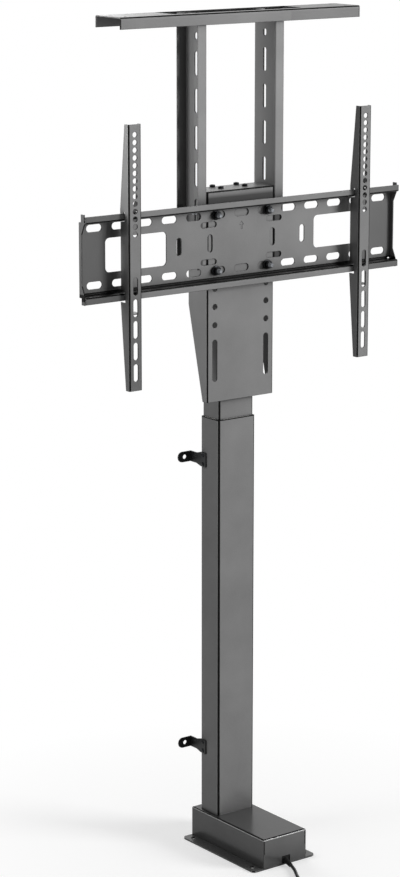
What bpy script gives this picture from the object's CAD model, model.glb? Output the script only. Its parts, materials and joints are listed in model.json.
import json
import math

import bpy
import numpy as np
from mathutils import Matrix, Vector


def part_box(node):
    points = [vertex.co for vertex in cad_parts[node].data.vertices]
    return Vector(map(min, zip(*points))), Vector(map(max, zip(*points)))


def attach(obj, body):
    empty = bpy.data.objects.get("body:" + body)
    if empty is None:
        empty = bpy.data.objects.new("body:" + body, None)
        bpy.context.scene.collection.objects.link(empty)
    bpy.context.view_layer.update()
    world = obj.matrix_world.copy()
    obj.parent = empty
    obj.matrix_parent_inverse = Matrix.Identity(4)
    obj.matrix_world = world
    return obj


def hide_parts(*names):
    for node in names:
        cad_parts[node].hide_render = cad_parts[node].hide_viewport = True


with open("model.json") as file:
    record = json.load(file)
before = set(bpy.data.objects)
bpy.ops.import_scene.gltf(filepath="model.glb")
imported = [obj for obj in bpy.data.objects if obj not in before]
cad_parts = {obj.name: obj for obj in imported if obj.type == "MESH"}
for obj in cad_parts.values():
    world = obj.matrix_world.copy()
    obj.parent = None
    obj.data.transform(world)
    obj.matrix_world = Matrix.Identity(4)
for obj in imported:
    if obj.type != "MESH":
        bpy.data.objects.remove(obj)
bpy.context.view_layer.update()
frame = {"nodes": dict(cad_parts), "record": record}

# The frame is that of the solids: +Z up, the screen side towards -Y, the floor at zero. The scene is in
# metres. Sizes and places of the part are written in millimetres.
MM = 0.001
nodes = frame["nodes"]
scene = bpy.context.scene
scene.view_settings.view_transform = "Standard"


def span(node, axis):
    """The lowest and the highest place of a node along an axis, in millimetres."""
    return [corner["xyz".index(axis)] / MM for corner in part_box(node)]


SHEET = 2  # thickness of the folded sheet
CARRIAGE_FRONT = span("carriage", "y")[0]
ARM_X = 249  # from the middle to the middle line of each screen arm

# Camera, where the photograph was taken from: to the front left of the column, above it, looking down.
CAMERA_AT = (-2.78357, -3.57217, 1.80273)
TURNED_RIGHT = math.radians(36.874)
LOOKING_DOWN = math.radians(12.992)
SENSOR_MM, LENS_MM = 36, 108.96
NEAREST, FARTHEST = 0.05, 100

lens = bpy.data.cameras.new("viewpoint")
lens.sensor_width = SENSOR_MM
lens.lens = LENS_MM
lens.clip_start, lens.clip_end = NEAREST, FARTHEST
camera = bpy.data.objects.new("viewpoint", lens)
camera.location = CAMERA_AT
camera.rotation_euler = (math.pi / 2 - LOOKING_DOWN, 0, -TURNED_RIGHT)
scene.collection.objects.link(camera)
scene.camera = camera


# Shapes

def rings(line, outline, size=None):
    """A closed outline carried along a line. At each point it stands square to the line, keeps its own
    upright as near to +Z as it can, and is multiplied by the size at that point."""
    way = np.gradient(line, axis=0)
    way /= np.linalg.norm(way, axis=1, keepdims=True)
    side = np.cross(way, (0, 0, 1))
    side /= np.linalg.norm(side, axis=1, keepdims=True)
    up = np.cross(side, way)
    size = np.ones(len(line)) if size is None else np.asarray(size)
    flat = outline[None] * size[:, None, None]
    return line[:, None] + side[:, None] * flat[..., :1] + up[:, None] * flat[..., 1:]


def around(at, axis, heights, radii, n=40):
    """Rings round an axis through a point: x = radius times cosine, y = radius times sine. Row k lies at
    heights[k] along the axis, and its radius is radii[k], one number or one for each of the n angles."""
    a = angles(n)
    r = np.stack([np.broadcast_to(row, n) for row in radii])
    h = np.broadcast_to(np.asarray(heights, float)[:, None], r.shape)
    flat = (r * np.cos(a), r * np.sin(a), h)
    order = {"x": (2, 0, 1), "y": (1, 2, 0), "z": (0, 1, 2)}[axis]
    return np.stack([flat[k] for k in order], -1) + np.asarray(at, float)


def angles(n):
    """Angles evenly round a circle, the first one half a step on."""
    return (np.arange(n) + 0.5) / n * 2 * math.pi


def circle(radius, n):
    """Points evenly round a circle."""
    return radius * np.stack([np.cos(angles(n)), np.sin(angles(n))], 1)


def soft_box(w, h, corner, n=6):
    """The outline of a rectangle whose corners are quarter circles of n steps."""
    turn = (np.arange(4)[:, None] + np.linspace(0, 1, n + 1)) * math.pi / 2
    mid = np.array([[1, 1], [-1, 1], [-1, -1], [1, -1]]) * (w / 2 - corner, h / 2 - corner)
    return (mid[:, None] + corner * np.stack([np.cos(turn), np.sin(turn)], -1)).reshape(-1, 2)


def slab(low, high, corner=1.0, edge=0.4):
    """An upright block between two opposite corners, with its upright edges rounded by corner and the rims
    of its two ends drawn in along a quarter circle of radius edge."""
    (x0, y0, z0), (x1, y1, z1) = low, high
    turn = np.linspace(0, math.pi / 2, 4)
    inset = edge * (1 - np.sin(turn))
    rise = edge * (1 - np.cos(turn))
    level = np.r_[z0 + rise, (z1 - rise)[::-1]]
    inset = np.r_[inset, inset[::-1]]
    rows = [soft_box(x1 - x0 - 2 * i, y1 - y0 - 2 * i, max(corner - i, 0.05)) for i in inset]
    flat = np.stack(rows) + ((x0 + x1) / 2, (y0 + y1) / 2)
    return np.concatenate([flat, np.broadcast_to(level[:, None, None], flat.shape[:2] + (1,))], -1)


def skin(rows, ring=False):
    """Rows of points joined by four-sided faces, each row closed on itself. The first and last rows are
    filled, or joined to each other for a ring."""
    count, width = rows.shape[:2]
    index = np.arange(count * width).reshape(count, width)
    low, high = (index, np.roll(index, -1, 0)) if ring else (index[:-1], index[1:])
    sides = np.stack([low, np.roll(low, -1, 1), np.roll(high, -1, 1), high], -1).reshape(-1, 4)
    ends = [] if ring else [index[0][::-1].tolist(), index[-1].tolist()]
    return rows.reshape(-1, 3) * MM, sides.tolist() + ends


def hexagon(flats, n):
    """The distance from the middle of a hexagon to its edge at each angle: half the flats over the cosine
    of the angle from the nearest flat's middle."""
    off = (angles(n) + math.pi / 6) % (math.pi / 3) - math.pi / 6
    return flats / 2 / np.cos(off)


def thread(radius, depth, lead, starts, heights, n):
    """The radii of a screw thread: the radius less the depth times a wave of height and angle, which is
    nought on the crests, one in the roots, and straight between them. The crest, the root and each of the
    two flanks take a quarter of the pitch."""
    turns = starts * (angles(n)[None] / (2 * math.pi) - np.asarray(heights)[:, None] / lead)
    return radius - depth * np.clip(np.abs(turns % 1 * 2 - 1) * 2 - 0.5, 0, 1)


def piece(name, shapes, material, body, replaces=(), sharp=35):
    """One mesh object from one or more (points, faces) shapes, each turned so its faces point outwards."""
    points, faces, count = [], [], 0
    for p, f in shapes:
        corners = np.array([[q[0], q[k], q[k + 1]] for q in f for k in range(1, len(q) - 1)])
        a, b, c = p[corners[:, 0]], p[corners[:, 1]], p[corners[:, 2]]
        if (a * np.cross(b, c)).sum() < 0:
            f = [q[::-1] for q in f]
        points.append(p)
        faces += [[k + count for k in q] for q in f]
        count += len(p)
    mesh = bpy.data.meshes.new(name)
    mesh.from_pydata(np.vstack(points).tolist(), [], faces)
    mesh.polygons.foreach_set("use_smooth", [True] * len(mesh.polygons))
    mesh.set_sharp_from_angle(angle=math.radians(sharp))
    mesh.materials.append(material)
    made = bpy.data.objects.new(name, mesh)
    scene.collection.objects.link(made)
    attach(made, body)
    if replaces:
        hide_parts(*replaces)
    return made


# Colour and finishes

# Sizes of the marks in the finishes. Real specks are 0.2 mm wide, and are drawn as fine as the picture shows.
TONE_DRIFT, SPECK, ORANGE_PEEL = 90, 1.4, 3.5
WALL_DRIFT = 25  # tone of a moulded wall
CUT_EDGE, RUBBED_EDGE, MOULDED_EDGE = 1.3, 0.35, 0.4
SHARP = 0.2  # fade at the border of a box that the spray misses
FAR = 2000  # well past the part, for a box that has no end on some side
EVERYWHERE = (-FAR, FAR)
# Where a normal counts as leaning: off the flat one at a rim, off all axes on a bend, and still to a side.
RIM_FROM, RIM_FULL = 0.985, 0.86
BEND_FROM, BEND_FULL = 0.9993, 0.990
FLANK_FROM, FLANK_FULL = 0.90, 0.93


def linear(shade):
    """An sRGB colour written as #rrggbb, turned into linear light with an alpha of one."""
    c = np.array([int(shade[k:k + 2], 16) for k in (1, 3, 5)]) / 255
    return (*np.where(c <= 0.04045, c / 12.92, ((c + 0.055) / 1.055) ** 2.4), 1.0)


def add(tree, kind, sockets=None, **settings):
    """One more node in the tree. Sockets are named or numbered, and each is given a value, a colour written
    as #rrggbb, or another node's output."""
    made = tree.nodes.new(kind)
    for name, value in settings.items():
        setattr(made, name, value)
    for name, value in (sockets or {}).items():
        if isinstance(value, bpy.types.NodeSocket):
            tree.links.new(value, made.inputs[name])
        else:
            made.inputs[name].default_value = linear(value) if isinstance(value, str) else value
    return made


def every(mm):
    """The scale of a noise whose marks are that many millimetres apart."""
    return 1 / (mm * MM)


def new_finish(name, **sockets):
    """A new material whose principled shader has the given sockets set."""
    made = bpy.data.materials.new(name)
    made.use_nodes = True
    shader = made.node_tree.nodes["Principled BSDF"]
    for socket, value in sockets.items():
        shader.inputs[socket.replace("_", " ")].default_value = value
    return made, made.node_tree, shader


def on_edges(tree, reach):
    """One on the rims of a shape and nought away from them: how far a normal rounded over the reach leans
    from the flat one. The rounded normal comes with it."""
    rounded = add(tree, "ShaderNodeBevel", {"Radius": reach * MM}, samples=6).outputs[0]
    flat = add(tree, "ShaderNodeNewGeometry").outputs["Normal"]
    lean = add(tree, "ShaderNodeVectorMath", {0: rounded, 1: flat}, operation="DOT_PRODUCT").outputs["Value"]
    return add(tree, "ShaderNodeMapRange", {0: lean, 1: RIM_FROM, 2: RIM_FULL}).outputs[0], rounded


def largest(tree, vector):
    """The largest of a vector's three parts."""
    parts = add(tree, "ShaderNodeSeparateXYZ", {0: vector}).outputs
    pair = add(tree, "ShaderNodeMath", {0: parts[0], 1: parts[1]}, operation="MAXIMUM").outputs[0]
    return add(tree, "ShaderNodeMath", {0: pair, 1: parts[2]}, operation="MAXIMUM").outputs[0]


def within(x=EVERYWHERE, y=EVERYWHERE, z=EVERYWHERE):
    """The two corners of a box, from its ranges. It goes on past the part along an axis that isn't given."""
    return tuple(zip(x, y, z))


def in_box(tree, place, box, fade, amount=1.0):
    """The amount inside a box, and nought outside it, with a ramp over the fade just inside its faces."""
    low, high = np.array(box, float) * MM
    off = add(tree, "ShaderNodeVectorMath", {0: place, 1: (low + high) / 2}, operation="SUBTRACT").outputs[0]
    off = add(tree, "ShaderNodeVectorMath", {0: off}, operation="ABSOLUTE").outputs[0]
    off = add(tree, "ShaderNodeVectorMath", {0: off, 1: (high - low) / 2}, operation="SUBTRACT").outputs[0]
    ramp = {0: largest(tree, off), 1: 0.0, 2: -fade * MM, 4: amount}
    return add(tree, "ShaderNodeMapRange", ramp).outputs[0]


def powder_coat(name, deep, pale, under, gloss=0.36, recess=0.85, hollow=70, glint=0.3, rim="#8d8d8d",
                flanks=((-1, 0, 0),), bends=1.0, missed=(), thin=()):
    """Baked polyester powder on blackened sheet steel that is cut and folded. The powder flows into a soft
    orange peel and its tone drifts a little over a hand's width. It pulls off the cut edges and the bends,
    where the blackened steel shows as a dark line, heaps up pale on the flanks of a bend, and lies thin and
    dull in hollows of up to the given width. The spray misses some boxes, and is thin in others, which come
    with an amount and a fade in millimetres."""
    made, tree, shader = new_finish(name, Specular_IOR_Level=glint)
    coord = add(tree, "ShaderNodeTexCoord")
    place, normal = coord.outputs["Object"], coord.outputs["Normal"]
    noise = {}
    for mark, mm, detail in (("drift", TONE_DRIFT, 3.0), ("speck", SPECK, 2.0), ("peel", ORANGE_PEEL, 1.5)):
        sockets = {"Vector": place, "Scale": every(mm), "Detail": detail}
        noise[mark] = add(tree, "ShaderNodeTexNoise", sockets).outputs[0]
    sockets = {0: noise["speck"], 1: 0.35, 2: noise["drift"]}
    mottle = add(tree, "ShaderNodeMath", sockets, operation="MULTIPLY_ADD").outputs[0]
    spread = add(tree, "ShaderNodeMapRange", {0: mottle, 1: 0.45, 2: 0.9}).outputs[0]
    body = add(tree, "ShaderNodeMix", {0: spread, 6: deep, 7: pale}, data_type="RGBA").outputs[2]

    # A bend is where the normal leans off all three axes. Its flank is where it still leans to a side.
    most = largest(tree, add(tree, "ShaderNodeVectorMath", {0: normal}, operation="ABSOLUTE").outputs[0])
    bend = add(tree, "ShaderNodeMapRange", {0: most, 1: BEND_FROM, 2: BEND_FULL}).outputs[0]
    heaped = 0.0
    for side in flanks:
        facing = add(tree, "ShaderNodeVectorMath", {0: normal, 1: side}, operation="DOT_PRODUCT")
        sockets = {0: facing.outputs["Value"], 1: FLANK_FROM, 2: FLANK_FULL}
        flank = add(tree, "ShaderNodeMapRange", sockets).outputs[0]
        heaped = add(tree, "ShaderNodeMath", {0: flank, 1: heaped}, operation="MAXIMUM").outputs[0]
    heaped = add(tree, "ShaderNodeMath", {0: bend, 1: heaped}, operation="MULTIPLY").outputs[0]
    bare = add(tree, "ShaderNodeMath", {0: bend, 1: heaped}, operation="SUBTRACT").outputs[0]
    bare = add(tree, "ShaderNodeMath", {0: bare, 1: bends}, operation="MULTIPLY").outputs[0]
    edge, rounded = on_edges(tree, CUT_EDGE)
    bare = add(tree, "ShaderNodeMath", {0: edge, 1: bare}, operation="MAXIMUM").outputs[0]
    for box in missed:
        inside = in_box(tree, place, box, SHARP)
        bare = add(tree, "ShaderNodeMath", {0: bare, 1: inside}, operation="MAXIMUM").outputs[0]
    worn = add(tree, "ShaderNodeMath", {0: bare, 1: 0.97}, operation="MULTIPLY").outputs[0]
    tree.links.new(worn, shader.inputs["Metallic"])

    open_air = add(tree, "ShaderNodeAmbientOcclusion", {"Distance": hollow * MM}, samples=8).outputs["AO"]
    deep_in = add(tree, "ShaderNodeMapRange", {0: open_air, 1: 0.92, 2: 0.4, 3: 0.0, 4: recess}).outputs[0]
    for box, amount, fade in thin:
        inside = in_box(tree, place, box, fade, amount)
        deep_in = add(tree, "ShaderNodeMath", {0: deep_in, 1: inside}, operation="MAXIMUM").outputs[0]
    coat = add(tree, "ShaderNodeMix", {0: heaped, 6: body, 7: rim}, data_type="RGBA").outputs[2]
    coat = add(tree, "ShaderNodeMix", {0: deep_in, 6: coat, 7: under}, data_type="RGBA").outputs[2]
    coat = add(tree, "ShaderNodeMix", {0: worn, 6: coat, 7: under}, data_type="RGBA").outputs[2]
    tree.links.new(coat, shader.inputs["Base Color"])

    sockets = {0: noise["speck"], 3: gloss - 0.06, 4: gloss + 0.08}
    tree.links.new(add(tree, "ShaderNodeMapRange", sockets).outputs[0], shader.inputs["Roughness"])
    height = add(tree, "ShaderNodeMath", {0: noise["speck"], 1: noise["peel"]}, operation="ADD").outputs[0]
    sockets = {"Height": height, "Strength": 0.15, "Distance": 0.0004, "Normal": rounded}
    tree.links.new(add(tree, "ShaderNodeBump", sockets).outputs[0], shader.inputs["Normal"])
    return made


def metal(name, deep, pale, worn, rough, mottle=12, mark=(0.8, 0.8, 0.8), relief=0.12):
    """Bare, plated or blackened metal. Its tone is mottled, its marks are as far apart as the tool, the
    rolling or the casting left them along each axis, and its rims are rubbed to the worn tone."""
    made, tree, shader = new_finish(name, Metallic=1.0)
    place = add(tree, "ShaderNodeTexCoord").outputs["Object"]
    sockets = {"Vector": place, "Scale": every(mottle), "Detail": 4.0}
    cloud = add(tree, "ShaderNodeTexNoise", sockets).outputs[0]
    spread = add(tree, "ShaderNodeMapRange", {0: cloud, 1: 0.3, 2: 0.7}).outputs[0]
    drawn = add(tree, "ShaderNodeMapping", {"Vector": place, "Scale": [every(m) for m in mark]}).outputs[0]
    line = add(tree, "ShaderNodeTexNoise", {"Vector": drawn, "Scale": 1.0, "Detail": 3.0}).outputs[0]
    edge, rounded = on_edges(tree, RUBBED_EDGE)
    rubbed = add(tree, "ShaderNodeMath", {0: edge, 1: line}, operation="MULTIPLY").outputs[0]
    tone = add(tree, "ShaderNodeMix", {0: spread, 6: deep, 7: pale}, data_type="RGBA").outputs[2]
    tone = add(tree, "ShaderNodeMix", {0: rubbed, 6: tone, 7: worn}, data_type="RGBA").outputs[2]
    tree.links.new(tone, shader.inputs["Base Color"])
    sheen = add(tree, "ShaderNodeMapRange", {0: line, 3: rough - 0.1, 4: rough + 0.12}).outputs[0]
    tree.links.new(sheen, shader.inputs["Roughness"])
    sockets = {"Height": line, "Strength": relief, "Distance": 0.0003, "Normal": rounded}
    tree.links.new(add(tree, "ShaderNodeBump", sockets).outputs[0], shader.inputs["Normal"])
    return made


def moulded(name, deep, pale, rough, texture=0.7, relief=0.2, shine=0.5):
    """A moulded or extruded plastic. The tool's fine texture breaks the gloss, the tone drifts with the
    wall, and the rims catch a little more light."""
    made, tree, shader = new_finish(name, Specular_IOR_Level=shine)
    place = add(tree, "ShaderNodeTexCoord").outputs["Object"]
    sockets = {"Vector": place, "Scale": every(WALL_DRIFT), "Detail": 3.0}
    cloud = add(tree, "ShaderNodeTexNoise", sockets).outputs[0]
    sockets = {"Vector": place, "Scale": every(texture), "Detail": 2.0}
    fine = add(tree, "ShaderNodeTexNoise", sockets).outputs[0]
    edge, rounded = on_edges(tree, MOULDED_EDGE)
    soft = add(tree, "ShaderNodeMath", {0: edge, 1: 0.35, 2: cloud}, operation="MULTIPLY_ADD").outputs[0]
    tone = add(tree, "ShaderNodeMix", {0: soft, 6: deep, 7: pale}, data_type="RGBA").outputs[2]
    tree.links.new(tone, shader.inputs["Base Color"])
    sheen = add(tree, "ShaderNodeMapRange", {0: fine, 3: rough - 0.08, 4: rough + 0.1}).outputs[0]
    tree.links.new(sheen, shader.inputs["Roughness"])
    sockets = {"Height": fine, "Strength": relief, "Distance": 0.0002, "Normal": rounded}
    tree.links.new(add(tree, "ShaderNodeBump", sockets).outputs[0], shader.inputs["Normal"])
    return made


def circuit_board(name):
    """Glass laminate under green solder mask. Copper tracks 0.8 mm wide lie under the mask and show as
    paler lines on a 5 mm net, and the mask is glossy."""
    made, tree, shader = new_finish(name, Roughness=0.28)
    place = add(tree, "ShaderNodeTexCoord").outputs["Object"]
    tracks = {"Vector": place, "Scale": every(5), "Color1": "#1d5c3b", "Color2": "#174d31",
              "Mortar": "#3c8a5c", "Mortar Size": 0.08, "Brick Width": 1.6, "Row Height": 1.0}
    net = add(tree, "ShaderNodeTexBrick", tracks, offset=0.37)
    cloud = add(tree, "ShaderNodeTexNoise", {"Vector": place, "Scale": every(9), "Detail": 2.0}).outputs[0]
    mask = {0: cloud, 6: net.outputs[0], 7: "#17432c"}
    tree.links.new(add(tree, "ShaderNodeMix", mask, data_type="RGBA").outputs[2], shader.inputs["Base Color"])
    bump = add(tree, "ShaderNodeBump", {"Height": net.outputs[1], "Strength": 0.3, "Distance": 0.0001})
    tree.links.new(bump.outputs[0], shader.inputs["Normal"])
    return made


# The finishes of the record's slots. A powder coat has three tones: deep powder, pale powder and the steel.
SPACE_GREY = ("#6f6f6f", "#7c7c7c", "#090909")
TUBE_GREY = ("#6e6e6e", "#7a7a7a", "#090909")
UPRIGHT_GREY = ("#7b7b7b", "#888888", "#090909")
BASE_GREY = ("#555555", "#626262", "#080808")
COVER_LEFT, COVER_TOP = span("base_cover", "x")[0], span("base_cover", "z")[1]
finish = {
    # Column tubes: satin grey powder on drawn tube, thinner on their left sides.
    "tube_paint": powder_coat("column_powder_coat", *TUBE_GREY, thin=[(within(x=(-42, -33.5)), 0.3, 0.5)]),
    # Base: the powder is baked darker and glossier, so its top mirrors the foot of the column. It is thinner
    # on the left side and the top, and heaps up paler on the bends of the left side and the front.
    "cover_paint": powder_coat(
        "base_powder_coat", *BASE_GREY, gloss=0.2, glint=0.35, recess=0.72, rim="#c4c4c4",
        flanks=((-1, 0, 0), (0, -1, 0)), thin=[
            (within(x=(COVER_LEFT - 2, COVER_LEFT + 1.4), z=(-FAR, COVER_TOP - 3)), 0.36, 0.6),
            (within(x=(-60, 60), z=(COVER_TOP - 1.2, FAR)), 0.65, 0.6)]),
    # Wall tabs: black paint with a low gloss.
    "black_paint": powder_coat("black_stoved_paint", "#0f1010", "#18191a", "#050505", gloss=0.4),
    # Nuts, washers and screws: black oxide, oily and half shiny, rubbed to steel on the corners.
    "black_steel": metal("black_oxide_steel", "#161617", "#252628", "#6d6f72", 0.34),
    # Foot plate, motor can and small nuts: zinc plate, bright with a faint cloud.
    "zinc_steel": metal("zinc_plated_steel", "#a9acb0", "#c3c6ca", "#dcdee0", 0.36, mottle=7),
    # Lift screws, shaft, worm and bearing: rolled and ground steel, with marks that run round it.
    "ground_steel": metal("rolled_screw_steel", "#b0b2b4", "#c9cbcc", "#e2e3e4", 0.24, mark=(6, 6, 0.5)),
    # Gearbox and end block: die cast aluminium, dull and slightly pitted.
    "cast_alloy": metal("die_cast_aluminium", "#96989a", "#aeb0b1", "#c8cacb", 0.5, mark=(1.2, 1.2, 1.2),
                        relief=0.4),
    # Nuts, worm wheel, bush and blades: machined bronze, yellow with turned lines.
    "nut_brass": metal("machined_bronze", "#a5803f", "#bd9850", "#dcc083", 0.3, mark=(5, 5, 0.6)),
    # Sliding pads and bearing block: white acetal, waxy.
    "pad_plastic": moulded("white_acetal", "#dedcd5", "#efeee9", 0.42, texture=0.9, relief=0.1),
    "board_green": circuit_board("green_solder_mask"),
    # Plug, cap and board parts: black nylon with a spark eroded texture.
    "black_plastic": moulded("black_moulded_nylon", "#131314", "#1e1e20", 0.46, texture=0.8, relief=0.35),
    # Cord: soft black PVC, drawn smooth.
    "cord_black": moulded("black_pvc_sheath", "#121213", "#1b1b1c", 0.36, texture=2.5, relief=0.12),
}
# Rail bolts: the black is worn off the threads, so their ends are grey.
worn_bolt = metal("worn_blackened_bolt_steel", "#505255", "#76787b", "#a4a6a8", 0.38, mottle=3)
# Strain relief: soft rubber, so matt that it takes no light.
boot_rubber = moulded("matt_black_rubber", "#0a0a0a", "#131313", 0.75, texture=1.5, relief=0.2, shine=0.2)


# The finishes of single sheet parts, in the same grey powder. The spray misses the walls of most holes.

def core(face):
    """The range through a sheet from the face with the lower coordinate on, 0.2 mm short of both faces. Only
    the walls of its holes lie there."""
    return face + 0.2, face + SHEET - 0.2


def rail_finish():
    """Rail plate: the top of the lower step, behind the lip, stays nearly black too. The ends are thinly
    covered, and most of all beside the left arm."""
    step_top = within((-345, 345), (1, 20.4), (1035, 1047))
    hole_walls = within((-336, 336), (20, 21.1), (1047, 1165))
    left_end, right_end, by_left_arm = ((-FAR, -262), (262, FAR), (-312, -250))
    return powder_coat("rail_powder_coat", *SPACE_GREY, recess=0.6, hollow=30, missed=[step_top, hole_walls],
                       thin=[(within(left_end), 0.52, 12), (within(right_end), 0.46, 12),
                             (within(by_left_arm), 0.6, 22)])


def lid_finish():
    """Lid bracket: the inside of its back edge is nearly black where the opening lies in front of it, and
    so are the cut ends of its front edge. Its front edge and its right part are a little thinner covered."""
    opening, end, top = (-139, 139), span("lid_bracket", "x")[1], span("lid_bracket", "z")[1]
    cut_ends = [within(x, (12, 17.6), (1470, top - 3)) for x in ((-end - 1, 1.8 - end), (end - 1.8, end + 1))]
    back_edge = within(opening, (84, 85.6), (1470, top - 0.5))
    hole_walls = within(opening, (27, 84), core(top - SHEET))
    front_edge = within(y=(-FAR, 18), z=(-FAR, top - 0.5))
    right_part = within(x=(100, FAR), z=(-FAR, top - 0.5))
    return powder_coat("lid_powder_coat", *SPACE_GREY, recess=0.45, missed=[back_edge, hole_walls] + cut_ends,
                       thin=[(front_edge, 0.12, 1), (right_part, 0.27, 4)])


def carriage_finish():
    """Carriage: it is thinly covered just above the rail plate and inside its right wall."""
    hole_walls = within((-64, 64), core(CARRIAGE_FRONT), (840, 1170))
    above_rail = within(y=(-FAR, 32), z=(1165, 1189))
    right_wall = within((50, 71.6), (23.6, FAR), (830, 1060))
    return powder_coat("carriage_powder_coat", *SPACE_GREY, recess=0.3, hollow=45, missed=[hole_walls],
                       thin=[(above_rail, 0.88, 6), (right_wall, 0.93, 0.3)])


def arm_finish():
    """Screen arms: the foot of the left one and the side of the right one are thinly covered."""
    face = core(span("arm_left", "y")[0])
    hole_walls = [within((x - 9.5, x + 9.5), face, (880, 1320)) for x in (-ARM_X, ARM_X)]
    left_foot = within(x=(-FAR, -150), z=(-FAR, 1080))
    right_side = within(x=(200, 237.4), y=(-12, FAR))
    return powder_coat("arm_powder_coat", *SPACE_GREY, missed=hole_walls,
                       thin=[(left_foot, 0.42, 60), (right_side, 0.4, 0.3)])


def upright_finish():
    """Uprights: a paler powder, which hardly leaves the bends. It is thinly covered behind the rail plate
    and along the back flange of the left one, and a little on the right one behind its front flange."""
    webs = [core(span("upright_left", "x")[1] - SHEET), core(span("upright_right", "x")[0])]
    slot_walls = [within(web, (40, 62), (1060, 1480)) for web in webs]
    behind_rail = (-FAR, 1172)
    left_foot, right_foot = within(x=(-FAR, -80), z=behind_rail), within(x=(60, FAR), z=behind_rail)
    back_flange, right_body = within(x=(-FAR, -70), y=(53, 77)), within(x=(72, FAR), y=(23.6, FAR))
    return powder_coat("upright_powder_coat", *UPRIGHT_GREY, recess=0.72, bends=0.35, missed=slot_walls,
                       thin=[(left_foot, 0.8, 3), (right_foot, 0.92, 3), (back_flange, 0.8, 14),
                             (right_body, 0.22, 0.3)])


def column_finish():
    """Outer tube: bare along its sawn top, and thinner covered on its left side."""
    sawn_top = within(z=(span("outer_tube", "z")[1] - 1.7, FAR))
    left_side = within(x=(-42, -38.9))
    return powder_coat("sawn_tube_powder_coat", *TUBE_GREY, missed=[sawn_top], thin=[(left_side, 0.25, 0.5)])


arm_paint, upright_paint = arm_finish(), upright_finish()
own_finish = {"rail_plate": rail_finish(), "lid_bracket": lid_finish(), "carriage": carriage_finish(),
              "arm_left": arm_paint, "arm_right": arm_paint, "upright_left": upright_paint,
              "upright_right": upright_paint, "outer_tube": column_finish()}
for row in frame["record"]["subparts"]:
    mesh = nodes[row["node"]].data
    mesh.materials.clear()
    mesh.materials.append(own_finish.get(row["node"]) or finish[row["material_slot"]])


# Mains cord: the points are the ones that the solids follow.

def through(points, steps):
    """A smooth line through points: between two of them it is the cubic whose slope at a point is half the
    step from the point before it to the point after it."""
    p = np.array(points, float)
    ends = np.vstack([p[:1], p, p[-1:]])
    a, b, c, d = (ends[k:len(p) - 1 + k, None] for k in range(4))
    t = (np.arange(steps) / steps)[None, :, None]
    bend = 2 * a - 5 * b + 4 * c - d
    line = 0.5 * (2 * b + (c - a) * t + bend * t * t + (3 * b - 3 * c + d - a) * t ** 3)
    return np.vstack([line.reshape(-1, 3), p[-1:]])


CORD = 6  # diameter of the cord
BUSH_FROM, BUSH_TIP = np.array((3, -107, 9.2)), np.array((-0.267, -130.247, 4.21))
RUN = [tuple(BUSH_TIP), (-1.084, -136.059, 3.1), (-6, -147.5, 3), (-11.5, -158, 3), (-18, -169, 3),
       (-25, -183, 3), (-32, -200, 3), (-37.5, -220, 3), (-40, -242, 3), (-40, -257, 3), (-40, -263, 3)]
TAIL = [(-40, -275, 9.5), (-40, -281, 9.5), (-38, -292, 8), (-36, -306, 5.6), (-36, -324, 5), (-38, -344, 7),
        (-38, -360, 8), (-38, -366, 8)]
COIL_AT = (-84, -269)
COIL_OUT, COIL_TURNS, COIL_STEP = 44, 6, 0.6    # radius of the outer turn, turns in all, gap between turns
PLUG_AT = (-38, -366, 8)


def coil_line(steps):
    """The coil winds inwards on the floor, climbs one cord's height in the middle, and winds outwards on
    top: radius = outer radius less pitch times the turns from the nearer end."""
    t = np.linspace(0, COIL_TURNS, COIL_TURNS * steps + 1)
    half, pitch = COIL_TURNS / 2, CORD + COIL_STEP
    r = COIL_OUT - pitch * (half - abs(t - half))
    lift = np.clip((t - half + 0.25) * 2, 0, 1)
    a = -2 * math.pi * t
    height = CORD / 2 + (CORD + 0.5) * lift
    return np.stack([COIL_AT[0] + r * np.cos(a), COIL_AT[1] + r * np.sin(a), height], 1)


cord_line = np.vstack([through(RUN, 8), coil_line(48), through(TAIL, 8)])
cord_line = cord_line[np.r_[True, np.linalg.norm(np.diff(cord_line, axis=0), axis=1) > 1e-3]]
cord = piece("mains_cord", [skin(rings(cord_line, circle(CORD / 2, 16)))], finish["cord_black"], "base",
             replaces=("cord_run", "cord_coil", "cord_tail"))


def strap(at, half, level):
    """A hook and loop strap round the windings: its outline stands square to the coil's circle at nine
    angles, from at less half to at plus half, and is drawn in a little at both edges."""
    band = soft_box(CORD * 4 + 4.6, 2 * CORD + 1.9, 4, 8)
    turn = (np.linspace(-half, half, 9) + at)[:, None]
    size = np.r_[0.985, np.ones(7), 0.985][:, None]
    r = COIL_OUT - (CORD + COIL_STEP) * COIL_TURNS / 4 + size * band[:, 0]
    height = level + size * band[:, 1]
    return np.stack([COIL_AT[0] + r * np.cos(turn), COIL_AT[1] + r * np.sin(turn), height], -1)


tie = piece("cord_tie", [skin(strap(math.radians(200), 0.16, 7.15))], finish["black_plastic"], "base")


def sleeve(length=24, thick=4.9, thin=3.9, groove=0.55, grooves=6, ribbed=16, ribs_from=6, taper_from=8):
    """The moulded sleeve of the strain relief, a round bar on the line from the bush to the tip. Its radius
    goes from thick to thin over the ribbed length, and is less by the groove where a sine with one wave for
    each groove is above nought. All places are distances from its foot."""
    s = np.linspace(0, 1, 97)
    taper = thick - (thick - thin) * np.clip((length * s - taper_from) / ribbed, 0, 1)
    wave = np.sin(np.clip((length * s - ribs_from) / ribbed, 0, 1) * grooves * 2 * math.pi)
    return rings(BUSH_FROM + s[:, None] * (BUSH_TIP - BUSH_FROM), circle(1, 32), taper - groove * (wave > 0))


bush_block = slab((-8, -111, 3), (14, -106.5, 18.5), 1.2, 0.5)
piece("cord_strain_relief", [skin(bush_block), skin(sleeve())], boot_rubber, "base",
      replaces=("cord_bush",), sharp=50)


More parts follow.
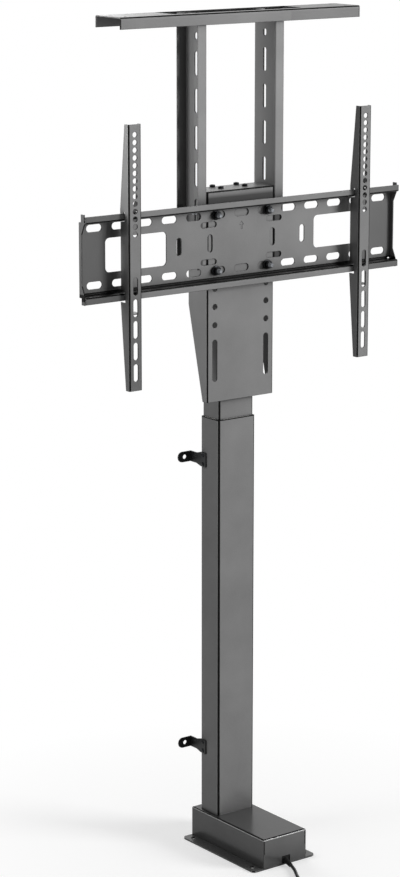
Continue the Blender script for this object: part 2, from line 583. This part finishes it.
def grip(length=32, neck=4.0, wider=7.0, higher=3.5, groove=0.45, rim=1.2):
    """The plug's body, carried along -Y: a round neck that swells into a flat grip with square finger
    grooves, and rounds off over the last of its length. Each section is |x/w|^p + |z/h|^p = 1, where p
    grows from 2, a circle, to 5.2, nearly a rectangle, and w and h are its half width and half height."""
    run = np.linspace(0, length, 65)
    grow = np.clip((run - 6) / 9, 0, 1)
    grow = grow * grow * (3 - 2 * grow)
    ridge = groove * (np.cos((run - 15) * 2 * math.pi / 3.2) > 0) * ((run > 14.5) & (run < 27))
    off = rim * np.clip((run - (length - rim)) / rim, 0, 1) ** 2
    a = angles(48)
    power = 2 + 3.2 * grow[:, None]
    reach = (np.abs(np.cos(a)) ** power + np.abs(np.sin(a)) ** power) ** (-1 / power)
    half_w = (neck + wider * grow - ridge * 1.2 - off)[:, None]
    half_h = (neck + higher * grow - ridge - off)[:, None]
    along = np.broadcast_to(-run[:, None], reach.shape)
    return np.stack([half_w * reach * np.cos(a), along, half_h * reach * np.sin(a)], -1) + PLUG_AT


# Two flat blades start 2 mm inside the grip and stand out 16 mm.
BLADE_W, BLADE_H, BLADE_LEN, BLADE_APART, BLADE_FROM = 1.5, 6.4, 18, 12.7, 30
plug = piece("plug_grip", [skin(grip())], finish["black_plastic"], "base",
             replaces=("plug_body",), sharp=40)
blade = slab((-BLADE_W / 2, -BLADE_H / 2, 0), (BLADE_W / 2, BLADE_H / 2, BLADE_LEN), 0.3, 0.5)
blade = blade[..., [0, 2, 1]] * (1, -1, 1) + (PLUG_AT[0], PLUG_AT[1] - BLADE_FROM, PLUG_AT[2])
blades = [skin(blade + (i * BLADE_APART / 2, 0, 0)) for i in (-1, 1)]
pins = piece("plug_contacts", blades, finish["nut_brass"], "base", replaces=("plug_blades",))


# Bolts, nuts and screws

def threaded_end(at, axis, radius, lead, low, high, depth, n=24, starts=1, chamfer=0.8, groove=None):
    """A threaded rod along an axis: the thread's wave, cut down to a cone at both ends. The groove, where one
    is given, is a key slot: its half width, how far its flat floor is from the axis, and where it starts."""
    h = np.linspace(low, high, int((high - low) / lead * starts * 6) + 2)
    r = thread(radius, depth, lead, starts, h, n)
    r = np.minimum(r, (radius - depth - chamfer / 2 + np.minimum(h - low, high - h))[:, None])
    if groove:
        half, floor_at, first = groove
        a = angles(n)
        inside = (np.abs(np.cos(a)) * radius < half) & (np.sin(a) > 0)
        cut = np.where(inside[None] & (h[:, None] > first), floor_at / np.maximum(np.sin(a), 0.1), np.inf)
        r = np.minimum(r, cut)
    return around(at, axis, h, r, n)


def hex_form(at, axis, flats, low, high, bore, n=48, chamfer=0.5):
    """A hexagon nut as a ring: out over one face, where a cone takes the corners off, along the flats, back
    over the other face, and through the bore with its two countersinks."""
    hexa, rim = hexagon(flats, n), flats / 2 * 0.97
    face, side = np.minimum(rim, hexa), np.minimum(hexa, rim + chamfer * 1.8)
    rows = [(low, bore + 0.3), (low, face), (low + chamfer, side), (high - chamfer, side), (high, face),
            (high, bore + 0.3), (high - 0.4, bore), (low + 0.4, bore)]
    return around(at, axis, *zip(*rows), n)


def washer_form(at, axis, low, high, outer, bore, n=40, edge=0.25):
    """A flat washer as a ring with its four rims cut off by the edge."""
    rows = [(low, bore + edge), (low, outer - edge), (low + edge, outer), (high - edge, outer),
            (high, outer - edge), (high, bore + edge), (high - edge, bore), (low + edge, bore)]
    return around(at, axis, *zip(*rows), n)


def socket_screw(at, axis, head, head_h, shank, length, socket, n=36):
    """A screw with a hexagon socket, along an axis that points out of its head: up the socket's wall, out
    over the crowned head, down its side, in under it and down the threaded shank to a chamfered end."""
    hexa, pit = hexagon(socket, n), head_h * 0.35
    top = [(pit, 0.05), (pit, hexa), (head_h - 0.15, hexa), (head_h, hexa + 0.25), (head_h - 0.1, head * 0.7),
           (head_h - 0.45, head * 0.9), (head_h - 1.0, head), (0.15, head), (0, head - 0.15), (0, shank)]
    h = np.linspace(-0.4, -length, int(length / 0.18))
    turns = thread(shank, 0.5, 1.0, 1, h, n)
    turns = np.minimum(turns, (shank - 1.1 + (h + length))[:, None])
    return np.concatenate([around(at, axis, *zip(*top), n), around(at, axis, h, turns, n)])


def mirrored(rows):
    """The same form on the other side of the middle plane."""
    return rows * (-1, 1, 1)


def hexagon_head(at, axis, flats, low, height, n=24):
    """The hexagon head of a bolt: it grows out of the shank at low and draws in a little at its far rim."""
    rows = [(low, 0.9), (low, 1.0), (low + height - 0.6, 1.0), (low + height, 0.93), (low + height, 0.1)]
    return around(at, axis, [h for h, f in rows], [hexagon(flats, n) * f for h, f in rows], n)


# Four M8 bolts hold the rail plate: their heads are behind the carriage, their washers and nuts in front.
SCREW_Y = 56.5  # middle line of the column
BOLT_X, ROW_Z = 56, (1154.5, 1058.5)
BOLT_TIP, NUT_FRONT, NUT_BACK, WASHER_BACK = 3.8, 10.8, 17.3, 19.3
CARRIAGE_BACK = CARRIAGE_FRONT + SHEET
bolt_places = [(x, 0, z) for x in (-BOLT_X, BOLT_X) for z in ROW_Z]
bolts = [np.concatenate([threaded_end(at, "y", 4, 1.25, BOLT_TIP, CARRIAGE_BACK, 0.75),
                         hexagon_head(at, "y", 13, CARRIAGE_BACK, 5.2)]) for at in bolt_places]
bolt_nuts = [hex_form(at, "y", 13, NUT_FRONT, NUT_BACK, 4.05) for at in bolt_places]
bolt_washers = [washer_form(at, "y", NUT_BACK, WASHER_BACK, 8.5, 4.3) for at in bolt_places]
piece("rail_bolts_m8", [skin(f) for f in bolts], worn_bolt, "inner_stage",
      replaces=("rail_bolts",), sharp=28)
piece("rail_nuts_m8", [skin(f, ring=True) for f in bolt_nuts], finish["black_steel"], "inner_stage",
      replaces=("rail_nuts",), sharp=28)
piece("rail_washers_m8", [skin(f, ring=True) for f in bolt_washers], finish["black_steel"], "inner_stage",
      replaces=("rail_washers",), sharp=50)

# Four screws hold the carriage on the top of the column.
BUTTON_HEAD = {"head": 5, "head_h": 4.4, "shank": 2.98, "socket": 4}
CARRIAGE_TOP = span("carriage", "z")[1]
top_screws = [socket_screw((x, SCREW_Y + y, CARRIAGE_TOP), "z", length=14, **BUTTON_HEAD)
              for x in (-26, 26) for y in (-12, 12)]
piece("carriage_top_screws", [skin(f) for f in top_screws], finish["black_steel"], "inner_stage",
      replaces=("carriage_screws",), sharp=40)

# Two screws with a washer and a nut clamp each upright to the side wall of the carriage. They are drawn
# from the wall's inside to x 85.35, and the solids end at 82.95.
UP_LINE, UP_SCREW_Z = 50.1, (1096, 1159)
WALL_INSIDE = span("carriage", "x")[1] - SHEET
CLAMP_LENGTH, CLAMP_WASHER, CLAMP_NUT, CLAMP_NUT_END = 14.5, 75.05, 77.05, 82.05
clamp = mirrored(socket_screw((0, 0, 0), "x", length=CLAMP_LENGTH, **BUTTON_HEAD))
clamps = [clamp + (WALL_INSIDE, UP_LINE, z) for z in UP_SCREW_Z]
held = [f for z in UP_SCREW_Z for f in (
    hex_form((0, UP_LINE, z), "x", 10, CLAMP_NUT, CLAMP_NUT_END, 3.02),
    washer_form((0, UP_LINE, z), "x", CLAMP_WASHER, CLAMP_NUT, 6, 3.02))]
piece("upright_clamp_screws", [skin(f) for c in clamps for f in (c, mirrored(c))], finish["black_steel"],
      "inner_stage", replaces=("upright_screws",), sharp=40)
piece("upright_clamp_nuts", [skin(f, ring=True) for c in held for f in (c, mirrored(c))],
      finish["zinc_steel"], "inner_stage", replaces=("upright_nuts",), sharp=28)

# Blind rivets on the wall tabs: a low dome with the broken stem in a dimple at its middle.
TAB_Z, RIVET_Y, RIVET_APART = (178, 712), 74, 16
rivet = [(39, 2.4), (42.5, 2.4), (42.5, 4.0), (42.75, 4.0), (43.2, 3.5), (43.6, 2.2), (43.7, 1.3),
         (43.35, 1.0), (43.2, 0.7), (43.4, 0.1)]
rivets = [around((0, RIVET_Y, z + k * RIVET_APART / 2), "x", *zip(*rivet), 32)
          for z in TAB_Z for k in (-1, 1)]
piece("tab_blind_rivets", [skin(f) for c in rivets for f in (c, mirrored(c))], finish["black_steel"], "base",
      replaces=("tab_rivets",), sharp=40)


def lock_knob(at, low, high, radius, n=48):
    """The knob of a locking screw: a disc with twelve shallow flutes, r = radius less a cosine wave."""
    flute = radius - 0.35 * (np.cos(angles(n) * 12) + 1) / 2
    rows = [(low, 0.1), (low, flute - 0.5), (low + 0.55, flute), (high - 0.55, flute), (high, flute - 0.5),
            (high, 2.4)]
    return around(at, "z", *zip(*rows), n)


LOCK_Y, LOCK_LOW, KNOB_TOP, LOCK_TOP = -0.5, 1000.75, 1006.75, 1030.45
for side, x in (("left", -ARM_X), ("right", ARM_X)):
    at = (x, LOCK_Y, 0)
    rod = threaded_end(at, "z", 2.5, 0.8, KNOB_TOP - 0.05, LOCK_TOP, 0.4)
    knob = lock_knob(at, LOCK_LOW, KNOB_TOP, 4.5)
    piece("arm_%s_lock_screw" % side, [skin(knob), skin(rod)], finish["black_steel"], "screen_arm_" + side,
          replaces=("arm_%s_lock" % side,), sharp=40)


# Drive, inside the base box and the column

COLUMN = (0, SCREW_Y, 0)
MOTOR = (21, 0, 23)
FOOT_TOP = span("column_foot", "z")[1]

# Four screws go through the foot of the column into the gearbox.
CAP_HEAD = {"head": 4, "head_h": 4.0, "shank": 2.98, "socket": 3}
foot_screws = [socket_screw((x, SCREW_Y + y, FOOT_TOP), "z", length=15, **CAP_HEAD)
               for x in (-27, 27) for y in (-17, 17)]
piece("gearbox_foot_screws", [skin(f) for f in foot_screws], finish["black_steel"], "base",
      replaces=("gearbox_screws",), sharp=40)

# Motor can: a drawn cup with a rolled rim at its open end, a step at the shut end and a bearing seat.
can = [(34.49, 3.06), (34.49, 17.5), (33.6, 18.4), (33.6, 19), (32.6, 19), (30, 18.6), (-38, 18.6),
       (-40.5, 19), (-41.5, 19), (-43.4, 18.5), (-43.5, 3.06)]
piece("motor_steel_can", [skin(around(MOTOR, "y", *zip(*can), 64), ring=True)], finish["zinc_steel"], "base",
      replaces=("motor_can",), sharp=30)

# Motor cap: a moulded cup with sixteen shallow grip ribs and a dished end.
rib = 17.5 - 0.5 * (np.cos(angles(96) * 16) > 0)
cap = [(-43.5, 0.1), (-43.5, 16.9), (-44.2, rib), (-54.6, rib), (-55.5, 16.4), (-55.5, 13), (-54.3, 12),
       (-54.3, 0.1)]
piece("motor_end_cap", [skin(around(MOTOR, "y", *zip(*cap), 96))], finish["black_plastic"], "base",
      replaces=("motor_cap",), sharp=30)

# Ball bearing: two ground rings with a sunk shield between them, as one turned section.
ball = [(6, 6.35), (6, 7.6), (6.3, 7.7), (6.3, 9.2), (6, 9.3), (6, 10.7), (6.3, 11), (12.7, 11), (13, 10.7),
        (13, 9.3), (12.7, 9.2), (12.7, 7.7), (13, 7.6), (13, 6.35), (12.6, 6.05), (6.4, 6.05)]
piece("ball_bearing", [skin(around(COLUMN, "z", *zip(*ball), 64), ring=True)], finish["ground_steel"], "base",
      replaces=("lower_bearing",), sharp=30)

# Lift screw: a plain journal through the gearbox, then a two-start thread with a key slot up its back. It
# is drawn up to 509.5, and the solid ends at 469.5.
SCREW_LEAD, SCREW_STARTS = 10, 2
LIFT_R, LIFT_FOOT, LIFT_TOP = 7, 6, 509.5
SLOT = (2.0, 5.0, 60)
journal = [(LIFT_FOOT, 5.4), (LIFT_FOOT + 0.5, 6), (FOOT_TOP + 0.1, 6), (FOOT_TOP + 0.2, 6)]
rod = threaded_end(COLUMN, "z", LIFT_R, SCREW_LEAD, FOOT_TOP + 0.3, LIFT_TOP, depth=1.0, n=64,
                   starts=SCREW_STARTS, chamfer=1.0, groove=SLOT)
piece("lift_screw_threaded", [skin(np.concatenate([around(COLUMN, "z", *zip(*journal), 64), rod]))],
      finish["ground_steel"], "lift_screw", replaces=("base_screw",), sharp=60)

# Hollow screw: the same thread on a tube, with a collar at its foot and a key inside that runs in the slot.
# It is drawn from 505.7 to 909.5, and the solid stands from 305.7 to 711.
HOLLOW_R, HOLLOW_BORE, HOLLOW_FOOT, HOLLOW_TOP = 10, 7.6, 505.7, 909.5
COLLAR_R, COLLAR_TOP = 12.2, HOLLOW_FOOT + 9.6
THREAD_FROM = COLLAR_TOP + 0.7
h = np.linspace(THREAD_FROM, HOLLOW_TOP, 480)
shell = thread(HOLLOW_R, 1.0, SCREW_LEAD, SCREW_STARTS, h, 32)
shell = np.minimum(shell, (HOLLOW_R - 1 + np.minimum(h - THREAD_FROM, HOLLOW_TOP - h))[:, None])
collar = [(HOLLOW_FOOT, HOLLOW_BORE), (HOLLOW_FOOT, COLLAR_R - 0.4), (HOLLOW_FOOT + 0.4, COLLAR_R),
          (COLLAR_TOP - 0.4, COLLAR_R), (COLLAR_TOP, COLLAR_R - 0.4), (COLLAR_TOP, HOLLOW_R)]
bore = [(HOLLOW_TOP, HOLLOW_BORE + 0.4), (HOLLOW_TOP - 0.3, HOLLOW_BORE), (HOLLOW_FOOT, HOLLOW_BORE)]
hollow = np.concatenate([around(COLUMN, "z", *zip(*collar), 32), around(COLUMN, "z", h, shell, 32),
                         around(COLUMN, "z", *zip(*bore), 32)])
key = slab((-1.4, SCREW_Y + 5.35, HOLLOW_FOOT), (1.4, SCREW_Y + 8.4, COLLAR_TOP), 0.3, 0.3)
piece("hollow_screw_threaded", [skin(hollow, ring=True), skin(key)], finish["ground_steel"], "upper_screw",
      replaces=("hollow_screw",), sharp=60)

# Worm: a two-start thread on the motor's shaft.
WORM_R, WORM_FROM, WORM_TO, SHAFT_BORE = 6, 43.5, 69.5, 3.02
h = np.linspace(WORM_FROM, WORM_TO, 105)
crest = thread(WORM_R, 1.3, 6.2, 2, h, 32)
crest = np.minimum(crest, (WORM_R - 1 + np.minimum(h - WORM_FROM, WORM_TO - h))[:, None])
worm = np.concatenate([around(MOTOR, "y", h, crest, 32),
                       around(MOTOR, "y", [WORM_TO, WORM_FROM], [SHAFT_BORE, SHAFT_BORE], 32)])
piece("worm_two_start", [skin(worm, ring=True)], finish["ground_steel"], "motor_rotor",
      replaces=("worm",), sharp=50)

# Worm wheel: thirty slanted teeth, which are a thread with thirty starts, round a dished web.
WHEEL_R, WHEEL_LOW, WHEEL_HIGH, TOOTH, TEETH = 14.6, 17, 29, 1.4, 30
h = np.linspace(WHEEL_LOW, WHEEL_HIGH, 9)
teeth = thread(WHEEL_R, TOOTH, 80, TEETH, h, 240)
teeth[[0, -1]] = np.minimum(teeth[[0, -1]], WHEEL_R - TOOTH / 2)
half_web = [(WHEEL_HIGH, 12), (WHEEL_HIGH - 1.6, 11.6), (WHEEL_HIGH - 1.6, 9.2), (WHEEL_HIGH, 8.8),
            (WHEEL_HIGH, 6.05)]
web = half_web + [(WHEEL_LOW + WHEEL_HIGH - z, r) for z, r in reversed(half_web)]
wheel = np.concatenate([around(COLUMN, "z", h, teeth, 240), around(COLUMN, "z", *zip(*web), 240)])
piece("worm_wheel_thirty_teeth", [skin(wheel, ring=True)], finish["nut_brass"], "lift_screw",
      replaces=("worm_wheel",), sharp=40)

# Control board on four posts, with a relay, a capacitor and a terminal block.
BOARD_AT, BOARD_W, BOARD_LEN = np.array((-43.5, -79.5, 0)), 36, 110
POST_W, POST_LEN = 28, 96


def on_board(low, high, corner, edge):
    """A block between two opposite corners, measured from the board's front left corner on the floor."""
    return slab(BOARD_AT + low, BOARD_AT + high, corner, edge)


post = [(3, 0.1), (3, 3), (4, 3), (5, 2.4), (11, 2.4)]
posts = [around(BOARD_AT + (4 + x, 6 + y, 0), "z", *zip(*post), 24)
         for x in (0, POST_W) for y in (0, POST_LEN)]
relay = on_board((5, 16, 12.5), (31, 46, 32.6), 1.2, 0.6)
terminals = [on_board((5, 80, 12.5), (29, 100, 24.6), 0.8, 0.4)]
terminals += [on_board((7.5 + 6 * k, 83, 24), (10.5 + 6 * k, 97, 24.9), 0.4, 0.2) for k in range(4)]
drum = [(12.5, 0.1), (12.5, 7.4), (13.2, 8), (14.6, 8), (15.2, 7.5), (15.8, 8), (37, 8), (37.6, 7.2),
        (37.4, 6.6), (37.4, 0.1)]
drum = around(BOARD_AT + (25, 62, 0), "z", *zip(*drum), 40)
piece("board_laminate", [skin(on_board((0, 0, 11), (BOARD_W, BOARD_LEN, 12.6), 1.5, 0.1))],
      finish["board_green"], "base", replaces=("control_board",), sharp=40)
piece("board_relay_and_terminals", [skin(f) for f in [relay] + terminals + posts], finish["black_plastic"],
      "base", sharp=40)
piece("board_capacitor", [skin(drum)], finish["zinc_steel"], "base", sharp=40)


# Floor, background and lamps

def seen_white(tree):
    """One for a ray from the camera, a reflection or a view through glass, and nought for the soft light."""
    ray = add(tree, "ShaderNodeLightPath")
    first = add(tree, "ShaderNodeMath", {0: ray.outputs["Is Camera Ray"], 1: ray.outputs["Is Glossy Ray"]},
                operation="MAXIMUM")
    return add(tree, "ShaderNodeMath", {0: first.outputs[0], 1: ray.outputs["Is Transmission Ray"]},
               operation="MAXIMUM").outputs[0]


WHITE = "#ffffff"
WORLD_LIGHT = 0.2                       # strength of the world's light on the object, where 1 is white
FLOOR_GLOW = 0.5                        # strength of the floor's own glow near the base
SHADOW_FROM, SHADOW_GONE = 0.2, 0.7     # metres from the middle, between which the shadow fades out
world = bpy.data.worlds.new("studio")
scene.world = world
world.use_nodes = True
air = world.node_tree
air.nodes.clear()
soft = add(air, "ShaderNodeBackground", {"Color": WHITE, "Strength": WORLD_LIGHT})
white = add(air, "ShaderNodeBackground", {"Color": WHITE, "Strength": 1.0})
both = add(air, "ShaderNodeMixShader", {0: seen_white(air), 1: soft.outputs[0], 2: white.outputs[0]})
add(air, "ShaderNodeOutputWorld", {"Surface": both.outputs[0]})

floor_paint = bpy.data.materials.new("pale_floor")
floor_paint.use_nodes = True
ground = floor_paint.node_tree
ground.nodes.clear()
matt = add(ground, "ShaderNodeBsdfDiffuse", {"Color": "#e6e6e6"})
lit = add(ground, "ShaderNodeBsdfDiffuse", {"Color": "#cccccc"})
glow = add(ground, "ShaderNodeEmission", {"Color": WHITE, "Strength": FLOOR_GLOW})
near = add(ground, "ShaderNodeAddShader", {0: lit.outputs[0], 1: glow.outputs[0]})
far = add(ground, "ShaderNodeEmission", {"Color": WHITE, "Strength": 1.0})
place = add(ground, "ShaderNodeTexCoord").outputs["Object"]
reach = add(ground, "ShaderNodeVectorMath", {0: place}, operation="LENGTH").outputs["Value"]
fade = add(ground, "ShaderNodeMapRange", {"Value": reach, "From Min": SHADOW_FROM, "From Max": SHADOW_GONE})
shown = add(ground, "ShaderNodeMixShader", {0: fade.outputs[0], 1: near.outputs[0], 2: far.outputs[0]})
out = add(ground, "ShaderNodeMixShader", {0: seen_white(ground), 1: matt.outputs[0], 2: shown.outputs[0]})
add(ground, "ShaderNodeOutputMaterial", {"Surface": out.outputs[0]})

# The floor is a square net of cells, a little under zero so that it shares no face with the base.
FLOOR_HALF, CELLS, FLOOR_Z = 9, 18, -0.0004
line = np.linspace(-FLOOR_HALF, FLOOR_HALF, CELLS + 1)
floor_x, floor_y = np.meshgrid(line, line)
first = np.arange(CELLS)[:, None] * (CELLS + 1) + np.arange(CELLS)
cells = np.stack([first, first + 1, first + CELLS + 2, first + CELLS + 1], -1)
floor_mesh = bpy.data.meshes.new("floor")
floor_mesh.from_pydata(np.stack([floor_x, floor_y, 0 * floor_x], -1).reshape(-1, 3).tolist(), [],
                       cells.reshape(-1, 4).tolist())
floor_mesh.materials.append(floor_paint)
floor = bpy.data.objects.new("floor", floor_mesh)
floor.location.z = FLOOR_Z
scene.collection.objects.link(floor)


def lamp(name, at, towards, size, watts, fan=180):
    """A square soft box that faces a point and throws its light within an angle. Lengths are in metres."""
    made = bpy.data.lights.new(name, "AREA")
    made.size, made.energy, made.spread = size, watts, math.radians(fan)
    held = bpy.data.objects.new(name, made)
    held.location = at
    held.visible_camera = False
    line = np.subtract(towards, at)
    held.rotation_euler = (math.atan2(np.hypot(line[0], line[1]), -line[2]), 0,
                           math.atan2(line[1], line[0]) - math.pi / 2)
    scene.collection.objects.link(held)


# The key lamp lights the fronts from the right. A lower one would be mirrored in the upper fronts, and a
# higher one would shade the rail plate with its lips. The others fill the left, the top and the back.
MIDDLE = (0, 0, 0.8)
lamp("key", (4.5, -5.4, 2.8), MIDDLE, 2.4, 438)
lamp("left_low", (-1.6, -0.1, 0.5), (0, 0, 0.5), 0.6, 0.5, 100)
lamp("left_high", (-0.65, 0.22, 1.38), (-0.25, 0.02, 1.2), 0.3, 3.0)
lamp("over", (0.0, 0.0, 3.9), MIDDLE, 2.6, 4)
lamp("rear", (0.8, 3.4, 2.2), MIDDLE, 2.4, 50)
